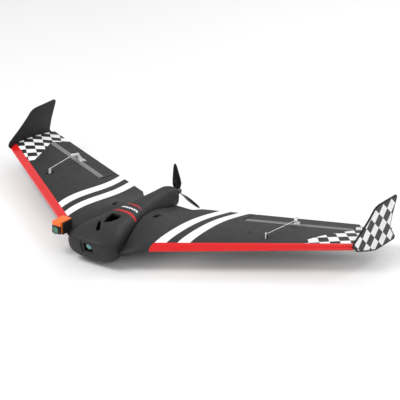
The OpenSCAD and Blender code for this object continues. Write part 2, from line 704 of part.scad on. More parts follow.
// Forward camera in its frame; local y runs back from the lens and the pivot is the origin
frame_y = [-19, -16];
barrel_radius = 7.6;
plate_x = [11.2, 12.8];
plate_rear = 12.5;
module camera_bracket() color([0.08, 0.08, 0.08]) on_datum() at_camera() difference() {
    union() {
        recess_block(0.1, frame_y[0], frame_y[1]);
        box(plate_x, [frame_y[1], plate_rear], [-9, 9]);
        box([-plate_x[1], -plate_x[0]], [frame_y[1], plate_rear], [-9, 9]);
        box([-plate_x[1], plate_x[1]], [plate_rear - 1.5, plate_rear], [-9, 9]);
    }
    box([-11, 11], [frame_y[0] - 1, frame_y[1] + 1], [-10.8, 10.8]);
    tube_x([0, 0, 0], 1.05, 20);
    rod_y(0, 4, 24, 0, 6);
}
module camera_screws() color("silver") on_datum() at_camera() left_and_right() {
    pin_x(9, 12.8, 1);
    pin_x(12.8, 13.8, 1.9);
}
module camera_body() color([0.1, 0.1, 0.1]) on_datum() at_camera() difference() {
    union() {
        box([-camera_half, camera_half], [-9, 7.5], [-9.5, 9.5]);
        rod_y(0, -16, -9, 0, barrel_radius);
    }
    tube_x([0, 0, 0], 1.05, 20);
    rod_y(0, -17, -13.5, 0, barrel_radius - 1.4);
}
module camera_lens() color([0.3, 0.75, 0.7]) on_datum() at_camera() rod_y(0, -15.6, -13.5, 0,
    barrel_radius - 1.5);

// Side camera in its cradle on the right shoulder
half_case = action_case / 2;
front_depth = 5;
module action_mount() color([0.05, 0.05, 0.05]) on_datum() translate(action_at) difference() {
    box([-half_case[0] - 2, half_case[0] + 2], [-half_case[1] + 8, half_case[1] + 2],
        [-half_case[2] - 2, half_case[2] - 2]);
    box([-half_case[0] - 0.1, half_case[0] + 0.1], [-half_case[1] - 1, half_case[1] + 0.1],
        [-half_case[2] - 0.1, half_case[2] + 1]);
    box([-half_case[0] - 3, -half_case[0]], [-half_case[1] + 14, half_case[1] - 6], [-half_case[2] + 8,
        half_case[2]]);
}
button_y = [-1, 9];
button_z = 6;
button_radius = 3;
module action_body() color("darkorange") on_datum() translate(action_at) difference() {
    box([-half_case[0], half_case[0]], [-half_case[1] + front_depth, half_case[1]], [-half_case[2],
        half_case[2]]);
    for (y = button_y) pin_x(-half_case[0] - 1, -half_case[0] + 2, button_radius + 0.1, y, button_z);
}
module action_front() color([0.05, 0.05, 0.05]) on_datum() translate(action_at) difference() {
    union() {
        box([-half_case[0], half_case[0]], [-half_case[1] + 1, -half_case[1] + front_depth],
            [-half_case[2], half_case[2]]);
        rod_y(0, -half_case[1] - 2.5, -half_case[1] + 1, action_lens_z, action_ring);
    }
    rod_y(0, -half_case[1] - 3, -half_case[1], action_lens_z, action_lens_seat);
}
module action_lens() color("seagreen") on_datum() translate(action_at)
    rod_y(0, -half_case[1] - 1.5, -half_case[1], action_lens_z, action_lens_seat - 0.1);
module button(y) translate(action_at) pin_x(-half_case[0] - 0.8, -half_case[0] + 1.2, button_radius, y,
    button_z);
module record_button() color([0.05, 0.05, 0.05]) on_datum() button(button_y[0]);
module power_button() color([0.05, 0.05, 0.05]) on_datum() button(button_y[1]);

centre_body();
hatch();
wing_left();
wing_right();
elevon_left();
elevon_right();
winglet_left();
winglet_right();
hinge_tape_front();
hinge_tape_left();
hinge_tape_right();
edge_tape_left();
edge_tape_right();
main_spar();
rear_spar();
winglet_pins();
skid_rails();
hatch_magnets();
body_magnets();
motor_mount();
motor_mount_screws();
motor_stator();
motor_bell();
motor_shaft();
propeller();
propeller_nut();
speed_controller();
motor_leads();
battery();
battery_strap();
servo_left();
servo_right();
servo_arm_left();
servo_arm_right();
servo_screw_left();
servo_screw_right();
pushrod_left();
pushrod_right();
clevis_left();
clevis_right();
control_horn_left();
control_horn_right();
horn_plate_left();
horn_plate_right();
horn_screws_left();
horn_screws_right();
servo_leads();
flight_controller();
receiver();
video_transmitter();
camera_bracket();
camera_screws();
camera_body();
camera_lens();
action_mount();
action_body();
action_front();
action_lens();
record_button();
power_button();
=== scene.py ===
import math

import bmesh
import bpy
import numpy as np
from mathutils import Matrix, Vector


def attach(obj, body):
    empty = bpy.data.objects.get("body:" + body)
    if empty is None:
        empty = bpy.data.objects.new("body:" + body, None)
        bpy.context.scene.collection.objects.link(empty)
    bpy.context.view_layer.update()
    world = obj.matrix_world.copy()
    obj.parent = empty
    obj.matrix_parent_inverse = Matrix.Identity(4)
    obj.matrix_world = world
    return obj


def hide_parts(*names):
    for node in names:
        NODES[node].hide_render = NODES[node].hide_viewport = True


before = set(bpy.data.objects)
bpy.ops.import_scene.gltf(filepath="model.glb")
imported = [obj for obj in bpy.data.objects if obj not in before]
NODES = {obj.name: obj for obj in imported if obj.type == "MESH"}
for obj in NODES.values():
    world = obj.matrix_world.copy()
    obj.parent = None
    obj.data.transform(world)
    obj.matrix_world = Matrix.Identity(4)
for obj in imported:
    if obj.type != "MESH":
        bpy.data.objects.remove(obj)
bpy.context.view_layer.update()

# Millimetres about the wing datum, moved to the row frame in metres
DATUM = np.array([0.0, -141.034, 47.0])
MM = 0.001


def at(points):
    return (np.asarray(points, float) + DATUM) * MM


# ---------------------------------------------------------------- wing shape
ROOT_X, TIP_X, SPAN = 108.0, 446.5, 900.0
LE_SLOPE, TE_SLOPE, LE_START, TE_START = 0.736, 0.4415, -112.0, 173.4
ELEVON_IN, ELEVON_OUT, ELEVON_CHORD, HINGE_GAP, END_GAP = 184.0, 400.0, 49.5, 0.6, 1.9
LINK_X, HINGE_Z = 286.0, 6.7
SWEEP = math.atan(TE_SLOPE)
SERVO_AT = np.array([280.0, 143.5, 6.5])
TE_HALF, TE_CUSP, HUMP_POWER = 0.8, 0.3, 1.3
# The trailing edge of the centre section is straight at the pod, then blends into the wing's line
POD_TE, BLEND_IN, BLEND_OUT = 191, 60, 78
# Bores in the foam: y, z and radius of each spar, and x, y and radius of the hatch magnets
MAIN_SPAR, REAR_SPAR = (100, 3.5, 3.05), (170, 0.5, 2.05)
MAGNET_X, MAGNET_Y, MAGNET_R = 30, -88, 3.05


def mix(a, b, t):
    return a + (b - a) * t


def thickness(s):
    s = np.asarray(s, float)
    return 10 * (0.2969 * np.sqrt(s) - 0.126 * s - 0.3516 * s ** 2
                 + 0.2843 * s ** 3 - 0.1036 * s ** 4)


def panel(x):
    """Section of the wing: leading and trailing y, their z, upper and lower swell, share of dome."""
    t = (x - ROOT_X) / (TIP_X - ROOT_X)
    return [LE_START + LE_SLOPE * x, TE_START + TE_SLOPE * x, mix(-2, 5, t), 0,
            mix(16.5, 9.2, t), mix(9, 4.5, t), 0.0]


def body_te(x):
    if x > BLEND_OUT:
        return TE_START + TE_SLOPE * x
    u = min(max((x - BLEND_IN) / (BLEND_OUT - BLEND_IN), 0), 1)
    return mix(POD_TE, TE_START + TE_SLOPE * BLEND_OUT, u * u * (2 - u)) if x > BLEND_IN else POD_TE


def centre(x):
    u = max(0.0, (x - 50) / (ROOT_X - 50))
    e = u * u * (3 - 2 * u)
    r = panel(ROOT_X)
    return [mix(-62, r[0], u ** 2.2), body_te(x), mix(-9, r[2], e), 0,
            mix(28, r[4], e), mix(24, r[5], e), 1.0 - e]


def section_point(q, s, side):
    y = mix(q[0], q[1], s)
    z = mix(q[2], q[3], s) + side * TE_HALF * s
    if side > 0:
        hump = max(0.0, math.sin(math.pi * s)) ** HUMP_POWER
        return y, z + q[4] * mix(thickness(s) * (1 - TE_CUSP * s * s), hump, q[6])
    return y, z - q[5] * thickness(s)


def section_ring(x, q, steps=56):
    chord = (1 - np.cos(np.pi * np.arange(steps + 1) / steps)) / 2
    top = [(x, *section_point(q, s, 1)) for s in chord[:0:-1]]
    low = [(x, *section_point(q, s, -1)) for s in chord]
    return np.array(top + low)


def hinge_y(x):
    return TE_START + TE_SLOPE * x - ELEVON_CHORD


# ---------------------------------------------------------------- mesh tools
def new_object(name, mesh):
    o = bpy.data.objects.new(name, mesh)
    bpy.context.scene.collection.objects.link(o)
    return o


def make(name, verts, faces):
    m = bpy.data.meshes.new(name)
    m.from_pydata([tuple(map(float, v)) for v in verts], [], faces)
    m.validate()
    m.update()
    return new_object(name, m)


def tidy_normals(o):
    b = bmesh.new()
    b.from_mesh(o.data)
    bmesh.ops.recalc_face_normals(b, faces=b.faces[:])
    b.to_mesh(o.data)
    b.free()
    return o


def shade(o, degrees):
    """Smooth shading, with edges sharper than an angle kept sharp."""
    m = o.data
    b = bmesh.new()
    b.from_mesh(m)
    limit = math.radians(degrees)
    for f in b.faces:
        f.smooth = True
    for e in b.edges:
        e.smooth = not (len(e.link_faces) != 2 or e.calc_face_angle(0) > limit)
    b.to_mesh(m)
    b.free()
    return o


def loft(name, rings, caps=True):
    """Skin through rings in millimetres that have the same number of points."""
    rings = [np.asarray(r, float) for r in rings]
    n = len(rings[0])
    verts = at(np.concatenate(rings))
    faces = []
    for k in range(len(rings) - 1):
        for i in range(n):
            j = (i + 1) % n
            faces.append((k * n + i, k * n + j, (k + 1) * n + j, (k + 1) * n + i))
    if caps:
        faces.append(tuple(range(n - 1, -1, -1)))
        faces.append(tuple((len(rings) - 1) * n + i for i in range(n)))
    return tidy_normals(make(name, verts, faces))


def prism(name, outline, low, high, axis="z"):
    """Prism along z or x of an outline in the two other axes, in millimetres."""
    outline = [tuple(map(float, p)) for p in outline]
    n = len(outline)
    pts = []
    for h in (low, high):
        for a, b in outline:
            pts.append({"z": (a, b, h), "x": (h, a, b)}[axis])
    faces = [tuple(range(n)), tuple(range(2 * n - 1, n - 1, -1))]
    faces += [(i, (i + 1) % n, n + (i + 1) % n, n + i) for i in range(n)]
    return tidy_normals(make(name, at(pts), faces))


BOX_FACES = [(0, 1, 3, 2), (4, 6, 7, 5), (0, 4, 5, 1), (2, 3, 7, 6), (0, 2, 6, 4), (1, 5, 7, 3)]


def corners(x, y, z):
    return np.array([[a, b, d] for a in x for b in y for d in z], float)


def block(name, x, y, z):
    """Box in millimetres."""
    return tidy_normals(make(name, at(corners(x, y, z)), BOX_FACES))


def place(points, origin, turn, tilt=0.0):
    """Points in a local frame, tilted about its x axis, turned about z, moved to an origin."""
    p = np.asarray(points, float)
    ct, st = math.cos(tilt), math.sin(tilt)
    p = np.stack([p[:, 0], p[:, 1] * ct - p[:, 2] * st, p[:, 1] * st + p[:, 2] * ct], 1)
    c, s = math.cos(turn), math.sin(turn)
    p = np.stack([p[:, 0] * c - p[:, 1] * s, p[:, 0] * s + p[:, 1] * c, p[:, 2]], 1)
    return p + np.asarray(origin)


def tube(name, a, b, radius, sides=40):
    """Cylinder from a to b in millimetres."""
    a, b = np.asarray(a, float), np.asarray(b, float)
    d = (b - a) / np.linalg.norm(b - a)
    u = np.cross(d, [0, 0, 1.0] if abs(d[2]) < 0.9 else [1.0, 0, 0])
    u /= np.linalg.norm(u)
    v = np.cross(d, u)
    t = 2 * np.pi * np.arange(sides) / sides
    ring = radius * (np.cos(t)[:, None] * u + np.sin(t)[:, None] * v)
    return loft(name, [a + ring, b + ring])


def drop(o):
    m = o.data
    bpy.data.objects.remove(o, do_unlink=True)
    if m.users == 0:
        bpy.data.meshes.remove(m)


def apply_modifiers(o):
    bpy.context.view_layer.update()
    graph = bpy.context.evaluated_depsgraph_get()
    got = bpy.data.meshes.new_from_object(o.evaluated_get(graph))
    old = o.data
    o.modifiers.clear()
    o.data = got
    if old.users == 0:
        bpy.data.meshes.remove(old)
    return o


def cut(o, other, how="DIFFERENCE"):
    """Exact boolean with another mesh, which is used up."""
    m = o.modifiers.new("cut", "BOOLEAN")
    m.operation = how
    m.solver = "EXACT"
    m.object = other
    apply_modifiers(o)
    drop(other)
    return o


def merge(o, other):
    return cut(o, other, "UNION")


def overlap(o, other):
    return cut(o, other, "INTERSECT")


def bevel(o, width, segments=3, degrees=35):
    """Rounds the edges sharper than an angle."""
    m = o.modifiers.new("round", "BEVEL")
    m.width = width * MM
    m.segments = segments
    m.limit_method = "ANGLE"
    m.angle_limit = math.radians(degrees)
    m.harden_normals = False
    apply_modifiers(o)
    return o


def mirrored(o, name):
    m = o.data.copy()
    m.transform(Matrix.Scale(-1, 4, (1, 0, 0)))
    m.flip_normals()
    return new_object(name, m)


def take(o, name, side):
    """Copy of a left piece, mirrored for the right side."""
    return new_object(name, o.data.copy()) if side > 0 else mirrored(o, name)


def join(name, parts):
    """One object from several, in the order given."""
    b = bmesh.new()
    for p in parts:
        b.from_mesh(p.data)
    m = bpy.data.meshes.new(name)
    b.to_mesh(m)
    b.free()
    for p in parts:
        drop(p)
    return new_object(name, m)


def finish_piece(o, material, body, slot, *nodes):
    o.data.materials.clear()
    o.data.materials.append(material)
    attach(o, body)
    if nodes:
        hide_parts(*nodes)
    return o


# ---------------------------------------------------------------- materials
class Field:
    """A number in a material's nodes, with arithmetic."""

    def __init__(self, tree, value):
        self.tree, self.value = tree, value

    def op(self, kind, *others):
        n = self.tree.nodes.new("ShaderNodeMath")
        n.operation = kind
        for i, v in enumerate((self,) + others):
            v = v.value if isinstance(v, Field) else v
            if isinstance(v, (int, float)):
                n.inputs[i].default_value = v
            else:
                self.tree.links.new(v, n.inputs[i])
        return Field(self.tree, n.outputs[0])

    def __add__(self, o): return self.op("ADD", o)
    def __sub__(self, o): return self.op("SUBTRACT", o)
    def __rsub__(self, o): return (self * -1.0) + o
    def __mul__(self, o): return self.op("MULTIPLY", o)
    def __truediv__(self, o): return self.op("DIVIDE", o)
    def __lt__(self, o): return self.op("LESS_THAN", o)
    def __gt__(self, o): return self.op("GREATER_THAN", o)
    def abs(self): return self.op("ABSOLUTE")
    def floor(self): return self.op("FLOOR")
    def sin(self): return self.op("SINE")
    def both(self, o): return self.op("MINIMUM", o)
    def either(self, o): return self.op("MAXIMUM", o)
    def odd(self): return self.op("PINGPONG", 1.0)


REFRACTION = 1.45


class Paint:
    """Builds one principled material, with coordinates in millimetres about the wing datum."""

    def __init__(self, name, base, rough, metal=0.0, coat=0.0, coat_rough=0.1, specular=0.5,
                 alpha=1.0):
        m = bpy.data.materials.new(name)
        m.use_nodes = True
        t = m.node_tree
        t.nodes.clear()
        self.m, self.t = m, t
        self.out = t.nodes.new("ShaderNodeOutputMaterial")
        self.b = t.nodes.new("ShaderNodeBsdfPrincipled")
        t.links.new(self.b.outputs[0], self.out.inputs[0])
        i = self.b.inputs
        i["Metallic"].default_value = metal
        i["Roughness"].default_value = rough
        i["Coat Weight"].default_value = coat
        i["Coat Roughness"].default_value = coat_rough
        i["Specular IOR Level"].default_value = specular
        i["IOR"].default_value = REFRACTION
        i["Alpha"].default_value = alpha
        i["Base Color"].default_value = (*base, 1)
        self.colour = None
        self.base = base
        self.height = None
        self.coord = t.nodes.new("ShaderNodeTexCoord").outputs["Object"]
        self._xyz = None

    def xyz(self):
        if self._xyz is None:
            s = self.t.nodes.new("ShaderNodeSeparateXYZ")
            self.t.links.new(self.coord, s.inputs[0])
            self._xyz = [Field(self.t, s.outputs[k]) * 1000.0 - float(DATUM[k]) for k in range(3)]
        return self._xyz

    def noise(self, scale, detail=3.0, rough=0.5, stretch=None):
        n = self.t.nodes.new("ShaderNodeTexNoise")
        n.inputs["Scale"].default_value = scale
        n.inputs["Detail"].default_value = detail
        n.inputs["Roughness"].default_value = rough
        self.t.links.new(self._stretched(stretch), n.inputs["Vector"])
        return Field(self.t, n.outputs["Fac"])

    def _stretched(self, stretch):
        if stretch is None:
            return self.coord
        v = self.t.nodes.new("ShaderNodeVectorMath")
        v.operation = "MULTIPLY"
        v.inputs[1].default_value = stretch
        self.t.links.new(self.coord, v.inputs[0])
        return v.outputs[0]

    def cells(self, scale, feature="F1", output="Distance"):
        n = self.t.nodes.new("ShaderNodeTexVoronoi")
        n.feature = feature
        n.inputs["Scale"].default_value = scale
        self.t.links.new(self.coord, n.inputs["Vector"])
        if output == "Color":
            s = self.t.nodes.new("ShaderNodeSeparateColor")
            self.t.links.new(n.outputs["Color"], s.inputs[0])
            return Field(self.t, s.outputs[0])
        return Field(self.t, n.outputs[output])

    def _start(self):
        if self.colour is None:
            n = self.t.nodes.new("ShaderNodeRGB")
            n.outputs[0].default_value = (*self.base, 1)
            self.colour = n.outputs[0]

    def blend(self, mask, colour):
        """The colour takes over where the mask is 1."""
        self._start()
        n = self.t.nodes.new("ShaderNodeMix")
        n.data_type = "RGBA"
        self.t.links.new(mask.value, n.inputs["Factor"])
        self.t.links.new(self.colour, n.inputs["A"])
        if isinstance(colour, tuple):
            n.inputs["B"].default_value = (*colour, 1)
        else:
            self.t.links.new(colour, n.inputs["B"])
        self.colour = n.outputs["Result"]
        return self

    def vary(self, field, low, high):
        """Multiplies the colour by a value that runs from low to high with the field."""
        self._start()
        r = self.t.nodes.new("ShaderNodeMapRange")
        r.inputs["To Min"].default_value = low
        r.inputs["To Max"].default_value = high
        self.t.links.new(field.value, r.inputs["Value"])
        v = self.t.nodes.new("ShaderNodeVectorMath")
        v.operation = "SCALE"
        self.t.links.new(self.colour, v.inputs[0])
        self.t.links.new(r.outputs[0], v.inputs["Scale"])
        self.colour = v.outputs[0]
        return self

    def rough(self, field, low, high):
        r = self.t.nodes.new("ShaderNodeMapRange")
        r.inputs["To Min"].default_value = low
        r.inputs["To Max"].default_value = high
        self.t.links.new(field.value, r.inputs["Value"])
        self.t.links.new(r.outputs[0], self.b.inputs["Roughness"])
        return self

    def bump(self, field, millimetres):
        """Adds a height, in millimetres for a field from 0 to 1."""
        h = field * (millimetres * MM)
        self.height = h if self.height is None else self.height + h
        return self

    def done(self):
        if self.colour is not None:
            self.t.links.new(self.colour, self.b.inputs["Base Color"])
        if self.height is not None:
            n = self.t.nodes.new("ShaderNodeBump")
            n.inputs["Distance"].default_value = 1.0
            n.inputs["Strength"].default_value = 1.0
            self.t.links.new(self.height.value, n.inputs["Height"])
            self.t.links.new(n.outputs[0], self.b.inputs["Normal"])
        return self.m


DARK = (0.0135, 0.0135, 0.0145)
BLACK = (0.012, 0.012, 0.013)
WHITE = (0.86, 0.86, 0.86)
RED = (0.66, 0.008, 0.010)
PLASTIC = (0.014, 0.014, 0.015)
ORANGE = (0.88, 0.15, 0.018)
BEAD_SCALE = 330.0


def beads(p, depth=0.12):
    """Moulded bead foam: small pressed cells with a seam between them, and a fine skin grain."""
    seam = p.cells(BEAD_SCALE, "DISTANCE_TO_EDGE")
    p.vary(p.cells(BEAD_SCALE, "F1", "Color"), 0.84, 1.14)
    # Painted shade: each cell is darkened towards its seam, where shade falls in the crease between
    # beads
    p.vary((seam * 9.0).op("MINIMUM", 1.0), 0.74, 1.0)
    p.vary(p.noise(9.0, 4.0), 0.90, 1.10)
    p.bump((seam * 6.0).op("MINIMUM", 1.0), depth)
    p.bump(p.noise(2400.0, 2.0), 0.05)
    p.rough(p.noise(60.0, 3.0), 0.46, 0.66)
    return p


def foam(name):
    return beads(Paint(name, DARK, 0.55, specular=0.45))


def curve_mask(x, y, x_at_edge, x_at_back):
    """How far outboard a point is of an S-shaped line from the tape to the trailing edge."""
    front = x_at_edge * LE_SLOPE + LE_START + 16.0
    back = x_at_back * TE_SLOPE + TE_START
    t = ((y - front) / (back - front)).op("MAXIMUM", 0.0).op("MINIMUM", 1.0)
    bow = (t * math.pi).sin() * -7.6 + (t * (2 * math.pi)).sin() * 2.6
    line = t * (x_at_back - x_at_edge) + x_at_edge + bow
    return x - line


def stripes(p):
    """Two white bands, and the thin dark line outboard of them."""
    x, y, _ = p.xyz()
    x = x.abs()
    edges = [curve_mask(x, y, a, b) > 0.0 for a, b in
             ((111.5, 112.0), (130.8, 133.0), (148.8, 150.0), (169.5, 169.5))]
    band = (edges[0] - edges[1]).either(edges[2] - edges[3])
    line = (curve_mask(x, y, 173.0, 173.0) > 0.0) - (curve_mask(x, y, 174.2, 174.4) > 0.0)
    return band, line


def chequers(p, side):
    """Squares on the wing tip, out to the tip from a line between the tape and the trailing edge."""
    size = 21.5
    x, y, _ = p.xyz()
    if side > 0:
        ox, oy, turn = 364.8, 237.5, math.radians(44.0)
    else:
        ox, oy, turn = -452.2, 266.5, math.radians(44.2)
    u = ((x - ox) * math.cos(turn) + (y - oy) * math.sin(turn)) / size
    v = ((x - ox) * math.sin(turn) - (y - oy) * math.cos(turn)) / size
    white = (u.floor() + v.floor()).odd()
    ax = x.abs()
    # The inner line bows outwards from the tape, then turns back inboard near the trailing edge
    s = (y - 162.0) / 204.0
    inner = s * 88.0 + 347.0 - (s * math.pi).sin() * 8.0
    inner = inner.both((y - 300.0) * -0.545 + 400.0)
    return white, ax > inner


def wing_paint(name, side):
    p = foam(name)
    band, line = stripes(p)
    white, region = chequers(p, side)
    p.blend(line * 0.6, BLACK)
    p.blend(region, BLACK)
    p.blend(region.both(white), WHITE)
    p.blend(band, WHITE)
    return p.done()


def foam_paint():
    p = foam("foam_dark")
    band, _ = stripes(p)
    p.blend(band.both(p.xyz()[0].abs() > 90.0), WHITE)
    return p.done()


def hatch_paint():
    """Foam with red swooshes and plain white dashes on the top."""
    p = foam("foam_hatch")
    dash_y = 51.0
    x, y, z = p.xyz()
    top = z > 22.0

    def swoosh(mid_x, crown, bend, half, x0, x1):
        c = (x - mid_x) * (x - mid_x) * -bend + crown
        run = ((x - (x0 + x1) / 2).abs() / ((x1 - x0) / 2)).op("POWER", 2.0)
        return (((y - c).abs() - (1.0 - run) * half) < 0.0).both(run < 1.0)

    for s in ((8.0, 33.0, 0.0030, 2.1, -56, 72), (20.0, 28.0, 0.0034, 1.1, -16, 70),
              (-4.0, 70.6, 0.0060, 1.2, -28, 22), (8.0, 66.5, 0.0060, 0.7, -12, 27)):
        p.blend(swoosh(*s).both(top), RED)
    skew = x + (y - dash_y) * 0.45
    dash = ((y - dash_y).abs() < 3.0).both((skew - 1.5).abs() < 21.0)
    gaps = ((skew + 60.0) / 6.0).op("FRACT") < 0.74
    p.blend(dash.both(gaps).both(top), WHITE)
    return p.done()


def winglet_paint():
    p = Paint("foam_winglet", (0.009, 0.009, 0.0095), 0.5, specular=0.35)
    beads(p, 0.08)
    return p.done()


def decal_paint():
    """Printed film on the winglet's outer face: grey and black squares."""
    p = Paint("winglet_film", (0.84, 0.84, 0.85), 0.34, specular=0.4)
    mid_y, mid_z, size = 338.2, 56.9, 22.6
    _, y, z = p.xyz()
    t = math.radians(-42.2)
    w = ((y - mid_y) * math.cos(t) + (z - mid_z) * math.sin(t)) / size
    v = ((y - mid_y) * math.sin(t) - (z - mid_z) * math.cos(t)) / size
    light = (w.floor() + v.floor()).odd()
    p.blend(1.0 - light, BLACK)
    p.vary(p.noise(14.0, 4.0), 0.92, 1.06)
    p.vary(p.cells(BEAD_SCALE, "F1", "Color"), 0.95, 1.05)
    p.rough(p.noise(40.0), 0.26, 0.40)
    p.bump(p.cells(BEAD_SCALE, "F1"), 0.06)
    return p.done()


def tape_paint():
    p = Paint("red_film", RED, 0.30, coat=0.25, coat_rough=0.14, specular=0.35)
    p.vary(p.noise(22.0, 4.0), 0.90, 1.06)
    p.vary(p.noise(240.0, 2.0), 0.97, 1.03)
    p.rough(p.noise(70.0, 3.0), 0.22, 0.38)
    p.bump(p.noise(160.0, 3.0), 0.10)
    p.bump(p.cells(BEAD_SCALE, "F1"), 0.05)
    return p.done()


def clear_paint():
    p = Paint("clear_film", (0.42, 0.42, 0.43), 0.16, coat=0.4, coat_rough=0.08, alpha=0.34)
    p.vary(p.noise(30.0, 3.0), 0.8, 1.1)
    p.rough(p.noise(90.0, 3.0), 0.10, 0.30)
    p.bump(p.noise(120.0, 3.0), 0.10)
    return p.done()


def plastic(name, base, rough=0.4, grain=0.03, coat=0.0, **more):
    p = Paint(name, base, rough, coat=coat, **more)
    p.vary(p.noise(45.0, 4.0), 0.88, 1.10)
    p.rough(p.noise(150.0, 3.0), max(rough - 0.10, 0.03), rough + 0.12)
    p.bump(p.noise(2600.0, 3.0), grain)
    return p.done()


def metal(name, base, rough=0.3, stretch=(1, 1, 1), grain=0.02):
    p = Paint(name, base, rough, metal=1.0)
    p.vary(p.noise(60.0, 4.0), 0.82, 1.08)
    p.rough(p.noise(700.0, 3.0, stretch=stretch), max(rough - 0.1, 0.04), rough + 0.14)
    p.bump(p.noise(1800.0, 3.0, stretch=stretch), grain)
    return p.done()


def carbon_paint():
    p = Paint("carbon", (0.02, 0.02, 0.021), 0.3, coat=0.4)
    p.vary(p.noise(900.0, 2.0, stretch=(0.02, 1, 1)), 0.6, 1.5)
    p.rough(p.noise(500.0, 2.0, stretch=(0.02, 1, 1)), 0.2, 0.42)
    p.bump(p.noise(900.0, 2.0, stretch=(0.02, 1, 1)), 0.02)
    return p.done()


def strap_paint():
    """Woven strap: ribs across and threads along it."""
    p = Paint("red_weave", (0.42, 0.012, 0.014), 0.8)
    per_rib = 2 * math.pi / 0.9
    x, y, _ = p.xyz()
    ribs = (x * per_rib).sin() * (y * per_rib).sin()
    p.vary(ribs, 0.75, 1.1)
    p.vary(p.noise(200.0), 0.85, 1.1)
    p.bump(ribs, 0.12)
    return p.done()


def board_paint():
    """Circuit board: solder mask with lighter tracks."""
    p = Paint("board", (0.01, 0.075, 0.03), 0.35, coat=0.2)
    x = p.xyz()[0]
    track = ((x / 1.7).op("FRACT") < 0.25).both(p.noise(220.0) > 0.5)
    p.blend(track, (0.03, 0.16, 0.07))
    p.vary(p.noise(90.0), 0.85, 1.1)
    p.rough(p.noise(200.0), 0.25, 0.45)
    return p.done()


def two_tone_paint():
    """Front of the side camera: orange above, black round the lens."""
    split_z = 17.0
    p = Paint("camera_front", PLASTIC, 0.36, coat=0.1)
    p.blend(p.xyz()[2] > split_z, ORANGE)
    p.vary(p.noise(45.0, 4.0), 0.88, 1.10)
    p.rough(p.noise(150.0, 3.0), 0.26, 0.48)
    p.bump(p.noise(2600.0, 3.0), 0.03)
    return p.done()


# ---------------------------------------------------------------- outlines
def smooth_rows(rows, count):
    """Rows of numbers run through by a smooth curve, at even steps along its length."""
    rows = np.asarray(rows, float)
    d = np.concatenate([[0], np.cumsum(np.linalg.norm(np.diff(rows, axis=0), axis=1))])
    slope = np.zeros_like(rows)
    slope[1:-1] = (rows[2:] - rows[:-2]) / (d[2:] - d[:-2])[:, None]
    slope[0] = (rows[1] - rows[0]) / (d[1] - d[0])
    slope[-1] = (rows[-1] - rows[-2]) / (d[-1] - d[-2])
    out = []
    for u in np.linspace(0, d[-1], count):
        k = min(int(np.searchsorted(d, u, side="right")) - 1, len(d) - 2)
        h = d[k + 1] - d[k]
        t = (u - d[k]) / h
        out.append((2 * t ** 3 - 3 * t ** 2 + 1) * rows[k]
                   + (t ** 3 - 2 * t ** 2 + t) * h * slope[k]
                   + (3 * t ** 2 - 2 * t ** 3) * rows[k + 1]
                   + (t ** 3 - t ** 2) * h * slope[k + 1])
    return np.array(out)


def rounded(points, radius, steps=6):
    """Closed outline with its corners rounded."""
    pts = [np.array(p, float) for p in points]
    out = []
    for i, p in enumerate(pts):
        a, b = pts[i - 1] - p, pts[(i + 1) % len(pts)] - p
        la, lb = np.linalg.norm(a), np.linalg.norm(b)
        a, b = a / la, b / lb
        half = math.acos(max(-1, min(1, float(a @ b)))) / 2
        if half > math.radians(84):
            out.append(p)
            continue
        reach = min(radius / math.tan(half), la * 0.45, lb * 0.45)
        r = reach * math.tan(half)
        mid = (a + b) / np.linalg.norm(a + b)
        c = p + mid * r / math.sin(half)
        s, e = p + a * reach - c, p + b * reach - c
        for k in range(steps + 1):
            v = mix(s, e, k / steps)
            w = np.linalg.norm(v)
            out.append(c + v / w * r if w > 1e-6 else p)
    return [tuple(q) for q in out]


def inset(points, by):
    """Closed outline moved inwards; the points run anticlockwise or clockwise."""
    p = np.array(points, float)
    area = 0.5 * np.sum(p[:, 0] * np.roll(p[:, 1], -1) - np.roll(p[:, 0], -1) * p[:, 1])
    sign = 1 if area > 0 else -1
    out = []
    for i in range(len(p)):
        a, b, c = p[i - 1], p[i], p[(i + 1) % len(p)]
        e1, e2 = (b - a) / np.linalg.norm(b - a), (c - b) / np.linalg.norm(c - b)
        n1, n2 = sign * np.array([-e1[1], e1[0]]), sign * np.array([-e2[1], e2[0]])
        n = (n1 + n2) / np.linalg.norm(n1 + n2)
        out.append(tuple(b + n * by / max(0.4, float(n @ n1))))
    return out


# ---------------------------------------------------------------- pod and centre section
# Rows of y, half width, top z, bottom z and lean of the ring
POD_ROWS = [
    [-90, 38, 9.5, -22, 0.35], [-89, 45, 13, -28, 0.35], [-86.5, 50.5, 15.5, -33, 0.33],
    [-81, 54.5, 18.5, -36, 0.29], [-73, 57, 22.5, -38, 0.22], [-62, 57, 27, -39, 0.13],
    [-48, 55, 31, -39.8, 0.04], [-20, 48, 34, -40.5, 0], [20, 39, 36, -40.5, 0],
    [60, 32, 37, -40.5, 0], [110, 26, 38, -40, 0], [140, 23, 38, -36, 0], [165, 21, 38, -27, 0],
    [190, 19.5, 37.5, -15, 0], [206, 18, 33, -8, 0]]
POD_POWER, WALL, GROOVE, SEAM_GAP = 3.0, 5.0, 3.0, 0.3
SEAM = [[-120, 10.5], [-80, 10.5], [-60, -10], [-40, -4], [20, 4], [60, 8], [130, 8], [165, 4],
        [220, 4]]
SHAFT_Z, BELL_R, FIREWALL_Y, HATCH_REAR = 15.5, 13.0, 184.0, 188.5
BELL_ROOM, BAY_REAR, CROWN = 1.8, 178, 1.6
CAM_PIVOT, CAM_LEAN = np.array([0.0, -71.0, 1.4]), math.radians(19.3)
CAM_ROOM, CAM_ROOM_HALF = 18.0, 18
# Past every face of the pod
WIDE = (-80, 80)


